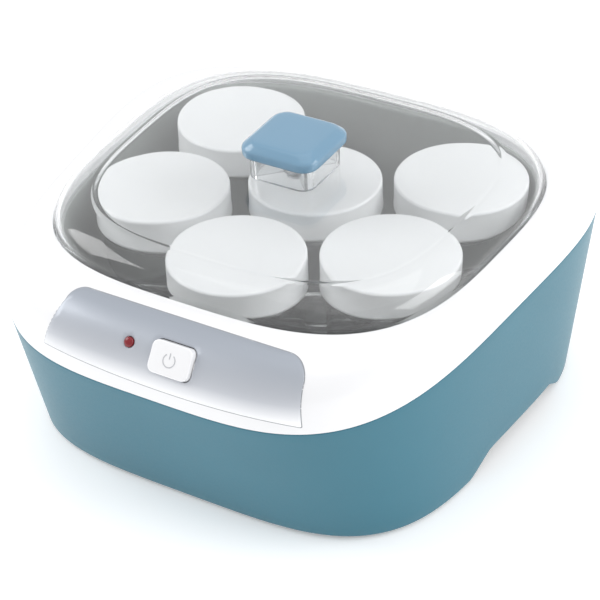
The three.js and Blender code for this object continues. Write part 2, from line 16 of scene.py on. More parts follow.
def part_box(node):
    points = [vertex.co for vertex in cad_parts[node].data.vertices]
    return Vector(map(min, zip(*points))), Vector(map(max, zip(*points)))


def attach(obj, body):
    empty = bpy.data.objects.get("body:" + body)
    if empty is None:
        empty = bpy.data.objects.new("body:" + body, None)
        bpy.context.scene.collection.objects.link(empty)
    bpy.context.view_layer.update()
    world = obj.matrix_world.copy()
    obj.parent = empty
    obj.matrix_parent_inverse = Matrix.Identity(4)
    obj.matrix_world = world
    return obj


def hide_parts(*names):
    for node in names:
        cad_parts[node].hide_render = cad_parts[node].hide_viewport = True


MM = 0.001
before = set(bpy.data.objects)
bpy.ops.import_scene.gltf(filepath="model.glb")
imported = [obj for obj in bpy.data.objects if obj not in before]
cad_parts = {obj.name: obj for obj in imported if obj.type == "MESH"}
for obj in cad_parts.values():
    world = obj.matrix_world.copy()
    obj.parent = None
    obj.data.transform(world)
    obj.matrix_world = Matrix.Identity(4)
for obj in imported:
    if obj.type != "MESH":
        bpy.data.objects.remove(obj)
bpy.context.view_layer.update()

# ------------------------------------------------------------------ shape constants

# Softened-square outlines: half width a, half depth b, squareness n, centre y, taper.
RIM = dict(a=128.0, b=125.0, n=3.65, y=0.0, taper=0.0011)
SEAM = dict(a=111.0, b=104.0, n=3.25, y=12.0, taper=0.0004)
BASE = dict(a=120.0, b=109.0, n=3.95, y=8.5, taper=0.0006)
RIM_TOP = 111.0
PARTING_FRONT = 77.5
PARTING_RISE = 27.0
PARTING_EASE = 1.35
SKIRT_BOTTOM = 2.0
ARCH_HEIGHT = 10.4
SEAT = 106.6
LEDGE_TOP = SEAT - 1.9
TUB_FLOOR = 30.0
DOME_RISE = 12.8
DOME_INSET = 19.6
LID_WALL = 2.4
CROWN_TOP = RIM_TOP + DOME_RISE + 2.0
CROWN_INSET = 84.0
KNOB_SIDE = 42.0
STEM_SIDE = 36.0
PANEL_TILT = math.radians(35)
PANEL_RISE = 0.416
PANEL_X = 8.0
PANEL_WIDTH = 136.0
PANEL_FOOT = -14.0
PANEL_HEAD = 18.8
PANEL_LEFT_CORNER = 7.0
PANEL_RIGHT_CORNER = 12.0
SEAT_DEPTH = -5.8
BUTTON = dict(x=11.6, up=0.3, width=21.5, height=15.5, corner=3.5)
LAMP = dict(x=-12.4, up=2.1, radius=2.5)
BEAD_RADIUS = 0.3
MARK_RADIUS = 3.1
MARK_HEIGHT = 3.08
AROUND = 384


def outline_point(shape, angle, inset=0.0):
    power = 2 / shape["n"]
    c, s = math.cos(angle), math.sin(angle)
    y = (shape["b"] - inset) * math.copysign(abs(s) ** power, s)
    x = (shape["a"] - inset) * math.copysign(abs(c) ** power, c)
    return Vector((x * (1 + shape["taper"] * y), y + shape["y"], 0))


def even_angles(count):
    """Angles that step evenly along the rim's outline."""
    fine = [i * 2 * math.pi / 7200 for i in range(7201)]
    points = [outline_point(RIM, a) for a in fine]
    lengths = [0.0]
    for a, b in zip(points, points[1:]):
        lengths.append(lengths[-1] + (b - a).length)
    angles = []
    j = 0
    for i in range(count):
        want = lengths[-1] * i / count
        while lengths[j + 1] < want:
            j += 1
        share = (want - lengths[j]) / (lengths[j + 1] - lengths[j])
        angles.append(fine[j] + share * (fine[j + 1] - fine[j]))
    return angles


ANGLES = even_angles(AROUND)


def flat_ring(shape, inset, z):
    return [outline_point(shape, a, inset) + Vector((0, 0, z)) for a in ANGLES]


def parting_height(y):
    share = min(max((y + RIM["b"]) / (2 * RIM["b"]), 0), 1)
    return PARTING_FRONT + PARTING_RISE * (1 - (1 - share) ** PARTING_EASE)


def parting_ring(inset, drop):
    ring = []
    for a in ANGLES:
        p = outline_point(RIM, a, inset)
        ring.append(Vector((p.x, p.y, parting_height(p.y) - drop)))
    return ring


def rim_point(angle, rise, depth=0.0):
    outer = outline_point(RIM, angle, depth)
    inner = outline_point(SEAM, angle, -max(depth, 0))
    front = max(0.0, -math.sin(angle))
    square = 3.4 + (2.5 - 3.4) * front**4
    turn = rise * math.pi / 2
    across = 1 - max(math.cos(turn), 0) ** (2 / square)
    up = math.sin(turn) ** (2 / square)
    foot = parting_height(outer.y)
    point = outer.lerp(inner, across)
    point.z = foot + (RIM_TOP - depth - foot) * up
    return point


def rim_ring(rise, depth=0.0):
    return [rim_point(a, rise, depth) for a in ANGLES]


def wall_point(angle, z, inset):
    low = outline_point(BASE, angle, inset)
    high = outline_point(RIM, angle, inset)
    point = low.lerp(high, z / parting_height(high.y))
    point.z = z
    return point


def smooth_ramp(value, start, end):
    t = min(max((value - start) / (end - start), 0), 1)
    return t * t * (3 - 2 * t) * 0.35 + t * 0.65


def skirt_bottom(angle):
    """Height of the skirt's lower edge: arched along both sides and along the back."""
    p = outline_point(BASE, angle)
    if abs(p.x) > 95:
        lift = min(smooth_ramp(p.y, -28, -9), 1 - smooth_ramp(p.y, 50, 64))
        return SKIRT_BOTTOM + lift * (ARCH_HEIGHT - SKIRT_BOTTOM)
    if p.y > 105:
        lift = 1 - smooth_ramp(abs(p.x), 54, 66)
        return SKIRT_BOTTOM + lift * (ARCH_HEIGHT - 3 - SKIRT_BOTTOM)
    return SKIRT_BOTTOM


# ------------------------------------------------------------------ mesh helpers


def new_object(name, vertices, faces):
    mesh = bpy.data.meshes.new(name)
    mesh.from_pydata([v * MM for v in vertices], [], faces)
    mesh.validate()
    mesh.update()
    obj = bpy.data.objects.new(name, mesh)
    bpy.context.scene.collection.objects.link(obj)
    return obj


def clean(obj, angle=40):
    """Outward normals, smooth shading and sharp edges past an angle."""
    bm = bmesh.new()
    bm.from_mesh(obj.data)
    bmesh.ops.remove_doubles(bm, verts=bm.verts, dist=1e-7)
    bmesh.ops.recalc_face_normals(bm, faces=bm.faces)
    bm.to_mesh(obj.data)
    bm.free()
    obj.data.shade_smooth()
    obj.data.set_sharp_from_angle(angle=math.radians(angle))
    return obj


def loft(name, rings, closed=False, angle=40):
    """Skin through rings of equal count. Closed joins last to first, open is capped."""
    count = len(rings[0])
    vertices = [p for ring in rings for p in ring]
    faces = []
    links = len(rings) if closed else len(rings) - 1
    for level in range(links):
        low = level * count
        high = ((level + 1) % len(rings)) * count
        for i in range(count):
            j = (i + 1) % count
            faces.append((low + i, low + j, high + j, high + i))
    if not closed:
        for start, flip in ((0, True), ((len(rings) - 1) * count, False)):
            middle = len(vertices)
            ring = vertices[start : start + count]
            vertices.append(sum(ring, Vector()) / count)
            for i in range(count):
                j = (i + 1) % count
                here, there = (j, i) if flip else (i, j)
                faces.append((middle, start + here, start + there))
    return clean(new_object(name, vertices, faces), angle)


def lathe(name, profile, steps=96, centre=(0, 0), angle=40):
    """Turned body round Z from (radius, height) points; radius 0 closes an end."""
    vertices = []
    rows = []
    for r, z in profile:
        if r < 1e-6:
            rows.append([len(vertices)] * steps)
            vertices.append(Vector((centre[0], centre[1], z)))
            continue
        rows.append([len(vertices) + i for i in range(steps)])
        for i in range(steps):
            a = i * 2 * math.pi / steps
            vertices.append(Vector((centre[0] + r * math.cos(a), centre[1] + r * math.sin(a), z)))
    faces = []
    for low, high in zip(rows, rows[1:]):
        for i in range(steps):
            j = (i + 1) % steps
            quad = [low[i], low[j], high[j], high[i]]
            face = [v for k, v in enumerate(quad) if v not in quad[:k]]
            if len(face) > 2:
                faces.append(face)
    return clean(new_object(name, vertices, faces), angle)


def arc(centre, radius, start, end, steps):
    """Points of a profile arc, angles in degrees."""
    points = []
    for i in range(steps + 1):
        a = math.radians(start + (end - start) * i / steps)
        points.append((centre[0] + radius * math.cos(a), centre[1] + radius * math.sin(a)))
    return points


def rounded_rect(width, height, corner, steps=10):
    """Anticlockwise outline, the same count of points whatever the size."""
    points = []
    x, y = width / 2 - corner, height / 2 - corner
    for cx, cy, start in ((x, y, 0), (-x, y, 90), (-x, -y, 180), (x, -y, 270)):
        points += arc((cx, cy), corner, start, start + 90, steps)
    return points


def cut(obj, tool):
    """Takes tool's volume out of obj."""
    modifier = obj.modifiers.new("cut", "BOOLEAN")
    modifier.operation = "DIFFERENCE"
    modifier.solver = "EXACT"
    modifier.object = tool
    bpy.context.view_layer.update()
    graph = bpy.context.evaluated_depsgraph_get()
    mesh = bpy.data.meshes.new_from_object(obj.evaluated_get(graph))
    obj.modifiers.clear()
    obj.data = mesh
    bpy.data.objects.remove(tool)
    return clean(obj)


def into_frame(obj, matrix):
    obj.data.transform(matrix)
    obj.data.update()
    return obj


# Tilted frame on the rim's front, in the middle of the panel.
front_point = rim_point(-math.pi / 2, PANEL_RISE)
panel_x = Vector((1, 0, 0))
panel_up = Vector((0, math.sin(PANEL_TILT), math.cos(PANEL_TILT)))
panel_out = Vector((0, -math.cos(PANEL_TILT), math.sin(PANEL_TILT)))


def panel_point(u, v, w):
    return front_point + panel_x * u + panel_up * v + panel_out * w


def in_panel_frame(ring):
    return [panel_point(p.x, p.y, p.z) for p in ring]


panel_matrix = Matrix.Translation(front_point * MM) @ Matrix(
    (
        (panel_x.x, panel_up.x, panel_out.x, 0),
        (panel_x.y, panel_up.y, panel_out.y, 0),
        (panel_x.z, panel_up.z, panel_out.z, 0),
        (0, 0, 0, 1),
    )
)


def finish_piece(obj, body, slot, material, *nodes):
    obj.data.materials.clear()
    obj.data.materials.append(material)
    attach(obj, body)
    if nodes:
        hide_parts(*nodes)
    return obj


# ------------------------------------------------------------------ materials


def node_material(name, colour, roughness, **settings):
    """Principled material whose colour, roughness and bump come from fine noise.

    spread is the share by which the colour varies, grain and bump the size and height
    of the surface texture, streak the stretch of the grain along each axis.
    """
    spread = settings.get("spread", 0.04)
    grain = settings.get("grain", 900)
    bump = settings.get("bump", 0.05)
    streak = settings.get("streak", (1, 1, 1))
    material = bpy.data.materials.new(name)
    material.use_nodes = True
    nodes, links = material.node_tree.nodes, material.node_tree.links
    shader = nodes["Principled BSDF"]
    for socket, value in settings.get("sockets", {}).items():
        shader.inputs[socket].default_value = value

    place = nodes.new("ShaderNodeTexCoord")
    stretch = nodes.new("ShaderNodeMapping")
    stretch.inputs["Scale"].default_value = streak
    links.new(place.outputs["Object"], stretch.inputs["Vector"])

    clouds = nodes.new("ShaderNodeTexNoise")
    clouds.inputs["Scale"].default_value = settings.get("clouds", 22)
    clouds.inputs["Detail"].default_value = 4
    links.new(stretch.outputs["Vector"], clouds.inputs["Vector"])
    tint = nodes.new("ShaderNodeValToRGB")
    tint.color_ramp.elements[0].position = 0.3
    tint.color_ramp.elements[1].position = 0.7
    tint.color_ramp.elements[0].color = [c * (1 - spread) for c in colour[:3]] + [1]
    tint.color_ramp.elements[1].color = [min(c * (1 + spread), 1) for c in colour[:3]] + [1]
    links.new(clouds.outputs["Fac"], tint.inputs["Fac"])
    links.new(tint.outputs["Color"], shader.inputs["Base Color"])

    gloss = nodes.new("ShaderNodeMapRange")
    gloss.inputs["To Min"].default_value = roughness * 0.85
    gloss.inputs["To Max"].default_value = min(roughness * 1.2, 1)
    fine = nodes.new("ShaderNodeTexNoise")
    fine.inputs["Scale"].default_value = grain
    fine.inputs["Detail"].default_value = 3
    links.new(stretch.outputs["Vector"], fine.inputs["Vector"])
    links.new(fine.outputs["Fac"], gloss.inputs["Value"])
    links.new(gloss.outputs["Result"], shader.inputs["Roughness"])

    relief = nodes.new("ShaderNodeBump")
    relief.inputs["Strength"].default_value = bump
    relief.inputs["Distance"].default_value = 0.0002
    links.new(fine.outputs["Fac"], relief.inputs["Height"])
    links.new(relief.outputs["Normal"], shader.inputs["Normal"])
    return material


def clear_material(name, colour, roughness, ior, haze=0.0):
    """Clear plastic or glass that lets light through to what it covers."""
    material = node_material(
        name, colour, roughness, spread=0.01, bump=0.015, grain=120,
        sockets={"Transmission Weight": 1.0 - haze, "IOR": ior},
    )
    nodes, links = material.node_tree.nodes, material.node_tree.links
    shader = nodes["Principled BSDF"]
    output = nodes["Material Output"]
    path = nodes.new("ShaderNodeLightPath")
    through = nodes.new("ShaderNodeBsdfTransparent")
    through.inputs["Color"].default_value = [c * 0.97 for c in colour[:3]] + [1]
    mix = nodes.new("ShaderNodeMixShader")
    links.new(path.outputs["Is Shadow Ray"], mix.inputs["Fac"])
    links.new(shader.outputs["BSDF"], mix.inputs[1])
    links.new(through.outputs["BSDF"], mix.inputs[2])
    links.new(mix.outputs["Shader"], output.inputs["Surface"])
    return material


def add_height_fade(material, low, high, stops):
    """Colour that fades with height over the panel, under the fine variation."""
    nodes, links = material.node_tree.nodes, material.node_tree.links
    shader = nodes["Principled BSDF"]
    varied = shader.inputs["Base Color"].links[0].from_socket
    geometry = nodes.new("ShaderNodeTexCoord")
    split = nodes.new("ShaderNodeSeparateXYZ")
    links.new(geometry.outputs["Object"], split.inputs["Vector"])
    span = nodes.new("ShaderNodeMapRange")
    span.inputs["From Min"].default_value = low
    span.inputs["From Max"].default_value = high
    links.new(split.outputs["Z"], span.inputs["Value"])
    fade = nodes.new("ShaderNodeValToRGB")
    ramp = fade.color_ramp.elements
    while len(ramp) < len(stops):
        ramp.new(0.5)
    for element, (position, colour) in zip(ramp, stops):
        element.position = position
        element.color = [*colour, 1]
    links.new(span.outputs["Result"], fade.inputs["Fac"])
    blend = nodes.new("ShaderNodeMix")
    blend.data_type = "RGBA"
    blend.blend_type = "MULTIPLY"
    blend.inputs["Factor"].default_value = 1.0
    links.new(fade.outputs["Color"], blend.inputs[6])
    links.new(varied, blend.inputs[7])
    links.new(blend.outputs[2], shader.inputs["Base Color"])
    return material


BLUE = node_material("blue_shell", (0.028, 0.155, 0.215), 0.38, spread=0.03, bump=0.04,
                     sockets={"Coat Weight": 0.06, "Coat Roughness": 0.2})
WHITE = node_material("white_gloss", (0.85, 0.85, 0.86), 0.16, spread=0.012, bump=0.02,
                      sockets={"Coat Weight": 0.5, "Coat Roughness": 0.06})
CAP_WHITE = node_material("cap_white", (0.80, 0.81, 0.815), 0.3, spread=0.015, bump=0.03)
SILVER = node_material("silver_panel", (1.0, 1.0, 1.0), 0.34, spread=0.02, bump=0.05, grain=2600,
                       sockets={"Metallic": 0.25, "Coat Weight": 0.3, "Coat Roughness": 0.15})
SILVER_FADE = [(0, (0.95, 0.95, 0.96)), (0.4, (0.53, 0.55, 0.59)), (1, (0.35, 0.38, 0.43))]
add_height_fade(SILVER, 0.084, 0.109, SILVER_FADE)
GROOVE = node_material("panel_edge_grey", (0.30, 0.31, 0.33), 0.5)
KNOB = node_material("knob_blue", (0.165, 0.305, 0.430), 0.16, spread=0.02, bump=0.015,
                     sockets={"Coat Weight": 0.4, "Coat Roughness": 0.08})
WELL = node_material("well_grey", (0.27, 0.29, 0.28), 0.3, spread=0.03, bump=0.04)
PLATE = node_material("heating_plate_dark", (0.10, 0.105, 0.11), 0.42, spread=0.06, grain=300,
                      streak=(1, 12, 1), bump=0.06, sockets={"Metallic": 0.6})
BLACK = node_material("black_plastic", (0.02, 0.02, 0.022), 0.5, spread=0.1, bump=0.25, grain=1400)
RUBBER = node_material("foot_rubber", (0.018, 0.018, 0.018), 0.8, spread=0.2, bump=0.4, grain=1800)
STEEL = node_material("plain_steel", (0.55, 0.56, 0.58), 0.28, spread=0.06, grain=500,
                      streak=(1, 1, 9), bump=0.08, sockets={"Metallic": 1.0})
COPPER = node_material("fuse_case", (0.62, 0.34, 0.2), 0.35, sockets={"Metallic": 0.9})
BOARD = node_material("lamp_board_green", (0.03, 0.15, 0.06), 0.45, spread=0.15)
RED = node_material("lamp_red", (0.22, 0.003, 0.010), 0.2, spread=0.1, bump=0.02,
                    sockets={"Coat Weight": 0.2, "Coat Roughness": 0.06})
MARK = node_material("power_mark_grey", (0.50, 0.51, 0.53), 0.35, bump=0.02)
LID_CLEAR = clear_material("lid_clear", (0.955, 0.962, 0.965), 0.04, 1.45, haze=0.05)
STEM_CLEAR = clear_material("stem_clear", (0.95, 0.96, 0.965), 0.05, 1.42, haze=0.12)
JAR_CLEAR = clear_material("jar_clear", (0.955, 0.972, 0.965), 0.015, 1.45)

# ------------------------------------------------------------------ housing and rim


def housing():
    bottoms = [skirt_bottom(a) for a in ANGLES]
    tops = [parting_height(outline_point(RIM, a).y) - 0.06 for a in ANGLES]
    rings = []

    def add(from_bottom, share, from_top, inset):
        ring = []
        for a, low, high in zip(ANGLES, bottoms, tops):
            base, head = low + from_bottom, high - from_top
            ring.append(wall_point(a, base + (head - base) * share, inset))
        rings.append(ring)

    for rise, inset in ((0, 1.3), (0.15, 0.8), (0.45, 0.38), (0.95, 0.1), (1.6, 0)):
        add(rise, 0, 0, inset)
    for step in range(1, 14):
        add(1.6, step / 14, 0.9, 0)
    for drop, inset in ((0.9, 0), (0.4, 0.05), (0.12, 0.2), (0, 0.5), (0, 2.3), (0.4, 2.6)):
        add(0, 1, drop, inset)
    for step in (0.66, 0.33):
        add(0, step, 0, 2.6)
    add(0.4, 0, 0, 2.6)
    add(0, 0, 0, 2.2)
    return loft("housing_shell", rings, closed=True, angle=60)


def gland_hole(gland):
    low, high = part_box(gland)
    centre = (low + high) / 2
    bpy.ops.mesh.primitive_cylinder_add(vertices=48, radius=0.0055, depth=0.02)
    tool = bpy.context.object
    tool.data.transform(Matrix.Translation((centre.x, centre.y, centre.z))
                        @ Matrix.Rotation(math.pi / 2, 4, "X"))
    return tool


RISES = [0.002, 0.008, 0.02, 0.04, 0.065] + [0.1 + 0.05 * i for i in range(18)]
RISES += [0.97, 0.985, 0.993, 0.998]


def rim_rings():
    rings = [parting_ring(3.2, -0.06), parting_ring(0.5, -0.06), parting_ring(0.14, -0.18)]
    rings += [rim_ring(rise) for rise in RISES]
    rings += [
        flat_ring(SEAM, 0.05, RIM_TOP - 0.04),
        flat_ring(SEAM, 0.22, RIM_TOP - 0.2),
        flat_ring(SEAM, 0.3, RIM_TOP - 0.5),
        flat_ring(SEAM, 0.3, LEDGE_TOP),
        flat_ring(SEAM, 2.2, LEDGE_TOP),
        flat_ring(SEAM, 2.2, LEDGE_TOP - 2.2),
        flat_ring(SEAM, -2.8, LEDGE_TOP - 2.2),
    ]
    rings += [rim_ring(rise, 2.8) for rise in (1, 0.85, 0.7, 0.55, 0.4, 0.2)]
    rings += [parting_ring(7, -1), parting_ring(7.2, 6), parting_ring(5.4, 6)]
    return rings


def prism(outline, low, high):
    """Prism along the panel frame's outward axis."""
    rings = [in_panel_frame([Vector((u, v, w)) for u, v in outline]) for w in (low, high)]
    return loft("tool", rings)


def button_outline(margin):
    outline = rounded_rect(
        BUTTON["width"] + 2 * margin, BUTTON["height"] + 2 * margin, max(BUTTON["corner"] + margin, 0.5)
    )
    return [(u + BUTTON["x"], v + BUTTON["up"]) for u, v in outline]


def lamp_outline(margin):
    radius = LAMP["radius"] + margin
    circle = arc((LAMP["x"], LAMP["up"]), radius, 0, 360, 32)
    return circle[:-1]


def along(start, end, steps):
    """Points between two points, without either end."""
    return [tuple(a + (b - a) * i / steps for a, b in zip(start, end)) for i in range(1, steps)]


def panel_outline(margin):
    """Bowed foot, rounded head, slanted left side; the same count of points at any margin."""
    left, right = PANEL_X - PANEL_WIDTH / 2 - margin, PANEL_X + PANEL_WIDTH / 2 + margin
    head, foot = PANEL_HEAD + margin, PANEL_FOOT - margin
    left_corner, right_corner = PANEL_LEFT_CORNER + margin, PANEL_RIGHT_CORNER + margin
    left_lean, right_lean, sag, small = 7.0, 1.5, 2.4, 0.8 + margin * 0.5
    points = []
    for i in range(61):
        t = i / 60
        bow = foot + sag - 6 * sag * t * (1 - t)
        points.append((left + small + (right - left - 2 * small) * t, bow))
    points += arc((right - small, foot + sag + small), small, -90, 0, 4)[1:]
    shoulder = (right - right_lean, head - right_corner)
    points += along((right, foot + sag + small), shoulder, 10)
    points += arc((shoulder[0] - right_corner, shoulder[1]), right_corner, 0, 90, 14)
    top_left = (left + left_lean + left_corner, head)
    points += along((shoulder[0] - right_corner, head), top_left, 60)
    points += arc((top_left[0], head - left_corner), left_corner, 90, 180, 14)
    points += along((left + left_lean, head - left_corner), (left, foot + sag + small), 10)
    points += arc((left + small, foot + sag + small), small, 180, 270, 4)[:-1]
    return points


def inside(point, outline):
    """True if a point lies inside an outline."""
    hit = False
    for (x1, y1), (x2, y2) in zip(outline, outline[1:] + outline[:1]):
        if (y1 > point[1]) != (y2 > point[1]):
            if point[0] < x1 + (point[1] - y1) * (x2 - x1) / (y2 - y1):
                hit = not hit
    return hit


def plate_on_rim(name, surface, outline, holes, levels, spacing=2.2):
    """Sheet that follows the rim: levels are (inset, height) from its lower edge up."""

    def lifted(u, v, height):
        start = panel_point(u, v, 30)
        place, normal, _, _ = surface.ray_cast(start, -panel_out)
        return place + normal * height

    top_inset, top_height = levels[-1]
    loops = [[outline(-inset) for inset, _ in levels]]
    loops += [[hole(inset) for inset, _ in levels] for hole in holes]
    flat, edges = [], []
    for rings in loops:
        start = len(flat)
        count = len(rings[-1])
        flat += [Vector(p) for p in rings[-1]]
        edges += [(start + i, start + (i + 1) % count) for i in range(count)]
    border = outline(-top_inset - spacing * 0.45)
    gaps = [hole(top_inset + spacing * 0.45) for hole in holes]
    low_u, high_u = min(p[0] for p in border), max(p[0] for p in border)
    low_v, high_v = min(p[1] for p in border), max(p[1] for p in border)
    u = low_u
    while u < high_u:
        v = low_v
        while v < high_v:
            if inside((u, v), border) and not any(inside((u, v), gap) for gap in gaps):
                flat.append(Vector((u, v)))
            v += spacing
        u += spacing
    points, _, triangles, *_ = delaunay_2d_cdt(flat, edges, [], 0, 1e-6)
    outer = [tuple(p) for p in loops[0][-1]]
    open_parts = [[tuple(p) for p in rings[-1]] for rings in loops[1:]]
    vertices = [lifted(p.x, p.y, top_height) for p in points]
    faces = []
    for triangle in triangles:
        middle = sum((points[i] for i in triangle), Vector((0, 0))) / 3
        if inside(middle, outer) and not any(inside(middle, part) for part in open_parts):
            faces.append(tuple(triangle))
    start = 0
    for rings in loops:
        count = len(rings[-1])
        upper = list(range(start, start + count))
        for (inset, height), ring in zip(reversed(levels[:-1]), reversed(rings[:-1])):
            lower = []
            for p in ring:
                lower.append(len(vertices))
                vertices.append(lifted(p[0], p[1], height))
            for i in range(count):
                j = (i + 1) % count
                faces.append((upper[i], lower[i], lower[j], upper[j]))
            upper = lower
        start += count
    return clean(new_object(name, vertices, faces), 50)


# ------------------------------------------------------------------ pieces on the base

shell = cut(housing(), gland_hole("cord_gland"))
finish_piece(shell, "base", "housing_blue", BLUE, "base_housing")

rim = loft("rim_shell", rim_rings(), closed=True, angle=60)
rim_surface = BVHTree.FromPolygons([v.co / MM for v in rim.data.vertices],
                                   [tuple(p.vertices) for p in rim.data.polygons])
panel = plate_on_rim(
    "panel_plate", rim_surface, panel_outline,
    [lambda m: button_outline(0.45 + m), lambda m: lamp_outline(0.2 + m)],
    [(0, -0.5), (0, 0.15), (0.08, 0.33), (0.25, 0.42)],
)
groove = plate_on_rim(
    "panel_groove", rim_surface, lambda m: panel_outline(m + 0.4),
    [lambda m: button_outline(0.42 + m), lambda m: lamp_outline(0.15 + m)],
    [(0, -0.3), (0, 0.03)],
)
rim = cut(rim, prism(button_outline(0.4), -9, 9))
rim = cut(rim, prism(lamp_outline(0.1), -9, 9))
finish_piece(rim, "base", "rim_white", WHITE, "top_rim")
finish_piece(panel, "base", "panel_silver", SILVER, "control_panel")
finish_piece(groove, "base", "base_black", GROOVE)


def button():
    def ring(margin, height):
        return in_panel_frame([Vector((u, v, height)) for u, v in button_outline(margin)])

    collar = SEAT_DEPTH - 0.3
    rings = [ring(1.3, collar - 1.5), ring(1.3, collar), ring(0, collar), ring(0, 2.1)]
    for i in range(1, 7):
        a = math.radians(i * 15)
        rings.append(ring(-0.9 * (1 - math.cos(a)), 2.1 + 0.9 * math.sin(a)))
    rings += [ring(-2.2, 3.1), ring(-4.5, 3.17)]
    return loft("button_cap", rings, angle=50)


finish_piece(button(), "button", "rim_white", WHITE, "power_button")


def ridge(name, points):
    """Half-sunk bead along points of the panel frame."""
    curve = bpy.data.curves.new(name, "CURVE")
    curve.dimensions = "3D"
    curve.bevel_depth = BEAD_RADIUS * MM
    curve.bevel_resolution = 3
    curve.use_fill_caps = True
    spline = curve.splines.new("POLY")
    spline.points.add(len(points) - 1)
    for target, (u, v, w) in zip(spline.points, points):
        target.co = (*(panel_point(u, v, w) * MM), 1)
    obj = bpy.data.objects.new(name, curve)
    bpy.context.scene.collection.objects.link(obj)
    return obj


def power_mark():
    """Generic power symbol in beads: a ring open at the top and a bar in the gap."""
    x, v = BUTTON["x"], BUTTON["up"]
    turns = [math.radians(a) for a in range(125, 416, 10)]
    ring = [
        (x + MARK_RADIUS * math.cos(a), v - 0.3 + MARK_RADIUS * math.sin(a), MARK_HEIGHT) for a in turns
    ]
    bar = [(x, v + 0.4 + 0.7 * i, MARK_HEIGHT) for i in range(5)]
    finish_piece(ridge("power_mark_ring", ring), "button", "rim_white", MARK)
    finish_piece(ridge("power_mark_bar", bar), "button", "rim_white", MARK)


power_mark()

flange = SEAT_DEPTH - 0.3
lens_radius, lens_side, lens_dome = 2.42, 0.55, 1.15
lens_profile = [(0, flange - 1.3), (3.6, flange - 1.3), (3.6, flange), (lens_radius, flange)]
lens_profile.append((lens_radius, lens_side))
for degrees in range(10, 90, 10):
    a = math.radians(degrees)
    lens_profile.append((lens_radius * math.cos(a), lens_side + lens_dome * math.sin(a)))
lens = lathe("lamp_dome", lens_profile + [(0, lens_side + lens_dome)], 48, (LAMP["x"], LAMP["up"]))
into_frame(lens, panel_matrix)
finish_piece(lens, "base", "lamp_red", RED, "lamp_lens")

# ------------------------------------------------------------------ well, heater and base

tub_inset, tub_draft, tub_wall = 2.5, 2.7, 1.8


def tub():
    outside = [flat_ring(SEAM, tub_inset + tub_draft + 3, TUB_FLOOR - tub_wall)]
    outside += [flat_ring(SEAM, tub_inset + tub_draft + 1.2, TUB_FLOOR - tub_wall + 0.8)]
    outside += [flat_ring(SEAM, tub_inset + tub_draft, TUB_FLOOR + 1.5)]
    outside += [flat_ring(SEAM, tub_inset, LEDGE_TOP + 0.3), flat_ring(SEAM, 0.7, LEDGE_TOP + 0.3)]
    outside += [flat_ring(SEAM, 0.7, SEAT - 0.5), flat_ring(SEAM, 0.9, SEAT - 0.3)]
    inner = tub_inset + tub_wall
    inside_rings = [flat_ring(SEAM, inner - 0.5, SEAT - 0.3), flat_ring(SEAM, inner, SEAT - 0.8)]
    for i in range(7):
        share = i / 6
        height = SEAT - 2 - (SEAT - 2 - TUB_FLOOR - 6) * share
        inside_rings.append(flat_ring(SEAM, inner + tub_draft * share, height))
    for i in range(1, 7):
        a = math.radians(i * 15)
        inset = inner + tub_draft + 5 * (1 - math.cos(a))
        inside_rings.append(flat_ring(SEAM, inset, TUB_FLOOR + 6 - 6 * math.sin(a)))
    inside_rings.append(flat_ring(SEAM, 40, TUB_FLOOR))
    return loft("well_shell", outside + inside_rings, angle=50)


finish_piece(tub(), "base", "well_grey", WELL, "well_tub")
hot_plate = loft("heating_sheet", [
    flat_ring(SEAM, 11.2, TUB_FLOOR + 0.3), flat_ring(SEAM, 10.8, TUB_FLOOR + 0.6),
    flat_ring(SEAM, 10.8, TUB_FLOOR + 1.6), flat_ring(SEAM, 11.4, TUB_FLOOR + 2.0),
    flat_ring(SEAM, 30, TUB_FLOOR + 2.0),
])
finish_piece(hot_plate, "base", "plate_dark", PLATE, "heating_plate")


def middle_mm(node):
    low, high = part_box(node)
    return (low + high) / (2 * MM)


gland_at = middle_mm("cord_gland")
gland_profile = [(3.2, -5.9), (5.2, -5.9), (5.2, 3.3), (7.2, 3.3), (7.6, 3.7), (7.6, 4.5)]
gland_profile += [(6.7, 5.7), (6.2, 5.9), (3.8, 5.9), (3.3, 5.6), (3.2, 5.0), (3.2, -5.9)]
gland = lathe("gland_collar", gland_profile, 64)
gland.data.transform(Matrix.Translation(gland_at * MM) @ Matrix.Rotation(-math.pi / 2, 4, "X"))
clean(gland)
finish_piece(gland, "base", "base_black", BLACK, "cord_gland")

for index in range(1, 5):
    at = middle_mm(f"rubber_foot_{index}")
    profile = [(0, 0.35), (5.5, 0.35), (6, 0)] + arc((8.2, 0.8), 0.8, -90, 0, 5)
    profile += [(9, 2.4), (8.6, 2.9), (4, 2.9), (4, 7.7), (3.6, 8), (0, 8)]
    foot = lathe(f"foot_pad_{index}", profile, 64, (at.x, at.y))
    finish_piece(foot, "base", "foot_rubber", RUBBER, f"rubber_foot_{index}")
    at = middle_mm(f"base_screw_{index}")
    head = 10.7
    profile = [(0, head - 1.9), (1.6, head - 1.85), (2.6, head - 1.4), (3.2, head - 0.6), (3.2, head)]
    profile += [(1.5, head), (1.5, 23), (0.3, 24), (0, 24)]
    screw = lathe(f"plate_screw_{index}", profile, 40, (at.x, at.y))
    for turn in (0, math.pi / 2):
        bpy.ops.mesh.primitive_cube_add(size=1)
        slot = bpy.context.object
        place = Matrix.Translation((at.x * MM, at.y * MM, (head - 1.6) * MM))
        turned = Matrix.Rotation(turn, 4, "Z")
        slot.data.transform(place @ turned @ Matrix.Diagonal((0.0034, 0.0007, 0.0014, 1)))
        screw = cut(screw, slot)
    finish_piece(screw, "base", "screw_steel", STEEL, f"base_screw_{index}")

